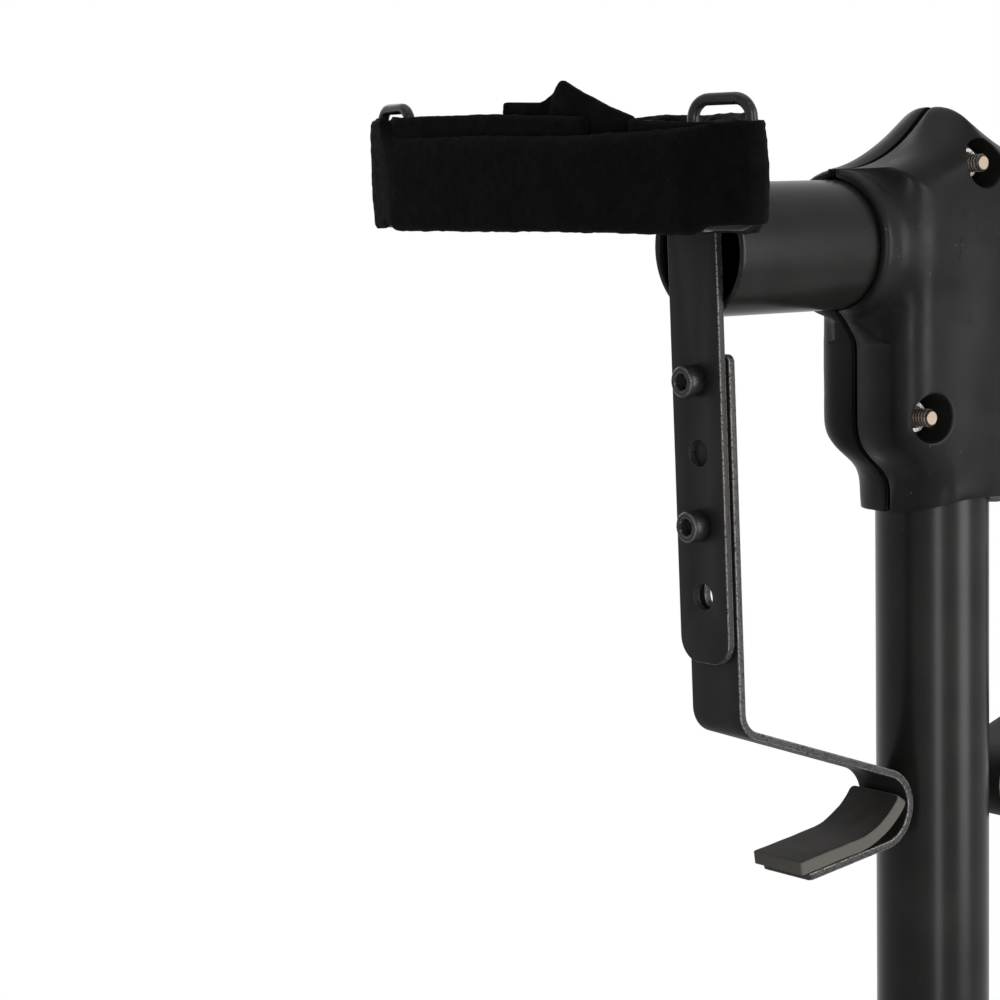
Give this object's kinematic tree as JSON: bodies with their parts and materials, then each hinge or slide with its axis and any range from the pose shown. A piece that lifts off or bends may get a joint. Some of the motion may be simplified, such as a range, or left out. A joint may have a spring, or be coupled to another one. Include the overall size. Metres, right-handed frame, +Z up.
{
  "type": "double drum stand",
  "caption": "Floor stand with a telescoping mast on a tubular base and a crossbar that carries a padded yoke with strap and a padded hook at each end.",
  "frame": {"origin": "on the floor, midway between the soles, under the mast", "axes": "+Z up the mast, the crossbar lies along X, and the knob and the front of the stand face -Y"},
  "size_m": [0.61, 0.52, 0.9015],
  "materials": {
    "painted_tube": "semi-gloss black powder coat",
    "flat_steel": "matte black powder coat, worn at the edges",
    "cover_plastic": "satin black moulding",
    "black_screw": "black oxide",
    "aged_thread": "dull zinc with a brown tint",
    "bright_nut": "bright zinc",
    "black_velvet": "fuzzy loop pile",
    "hook_padding": "matt foam skin",
    "black_rubber": "matt moulded rubber",
    "black_nylon": "matt nylon",
    "painted_wire": "gloss black paint"
  },
  "bodies": {
    "base": {"base_cover_front": "cover_plastic", "base_cover_back": "cover_plastic", "base_cover_bolt_middle": "aged_thread", "base_cover_bolt_left": "aged_thread", "base_cover_bolt_right": "aged_thread", "base_cover_nut_middle": "bright_nut", "base_cover_nut_left": "bright_nut", "base_cover_nut_right": "bright_nut", "end_cover_left": "cover_plastic", "end_cover_right": "cover_plastic", "base_tube": "painted_tube", "foot_tube_left": "painted_tube", "foot_tube_right": "painted_tube", "foot_boot_front_left": "black_rubber", "foot_boot_back_left": "black_rubber", "foot_boot_front_right": "black_rubber", "foot_boot_back_right": "black_rubber", "column": "painted_tube", "guide_bush": "black_nylon", "clamp_collar": "cover_plastic", "clamp_nut": "bright_nut"},
    "knob": {"clamp_knob": "black_nylon"},
    "head": {"mast": "painted_tube", "top_cover_front": "cover_plastic", "top_cover_back": "cover_plastic", "top_cover_bolt_middle": "aged_thread", "top_cover_bolt_left": "aged_thread", "top_cover_bolt_right": "aged_thread", "top_cover_nut_middle": "bright_nut", "top_cover_nut_left": "bright_nut", "top_cover_nut_right": "bright_nut"},
    "arms": {"crossbar": "painted_tube", "upright_bar_left": "flat_steel", "bar_spacer_left": "black_nylon", "bar_bolt_upper_left": "black_screw", "bar_bolt_lower_left": "black_screw", "bar_nut_upper_left": "bright_nut", "bar_nut_lower_left": "bright_nut", "yoke_band_left": "flat_steel", "yoke_sleeve_left": "black_velvet", "ring_front_left": "painted_wire", "ring_back_left": "painted_wire", "strap_left": "black_velvet", "upright_bar_right": "flat_steel", "bar_spacer_right": "black_nylon", "bar_bolt_upper_right": "black_screw", "bar_bolt_lower_right": "black_screw", "bar_nut_upper_right": "bright_nut", "bar_nut_lower_right": "bright_nut", "yoke_band_right": "flat_steel", "yoke_sleeve_right": "black_velvet", "ring_front_right": "painted_wire", "ring_back_right": "painted_wire", "strap_right": "black_velvet"},
    "hook_left": {"hook_bar_left": "flat_steel", "hook_pad_left": "hook_padding"},
    "hook_right": {"hook_bar_right": "flat_steel", "hook_pad_right": "hook_padding"}
  },
  "joints": [
    {"name": "knob_turn", "type": "hinge", "parent": "base", "child": "knob", "pos_m": [0.0355, -0.03, 0.534], "axis": [0, -1, 0], "continuous": true},
    {"name": "mast_slide", "type": "slide", "parent": "base", "child": "head", "axis": [0, 0, 1], "range_m": [-0.08, 0.2]},
    {"name": "arms_tilt", "type": "hinge", "parent": "head", "child": "arms", "pos_m": [0, 0, 0.85], "axis": [1, 0, 0], "range_deg": [-45, 45]},
    {"name": "hook_left_slide", "type": "slide", "parent": "arms", "child": "hook_left", "axis": [-0.0297, 0, 0.9996], "range_m": [0, 0.0095]},
    {"name": "hook_right_slide", "type": "slide", "parent": "arms", "child": "hook_right", "axis": [0.0297, 0, 0.9996], "range_m": [0, 0.0095]}
  ]
}
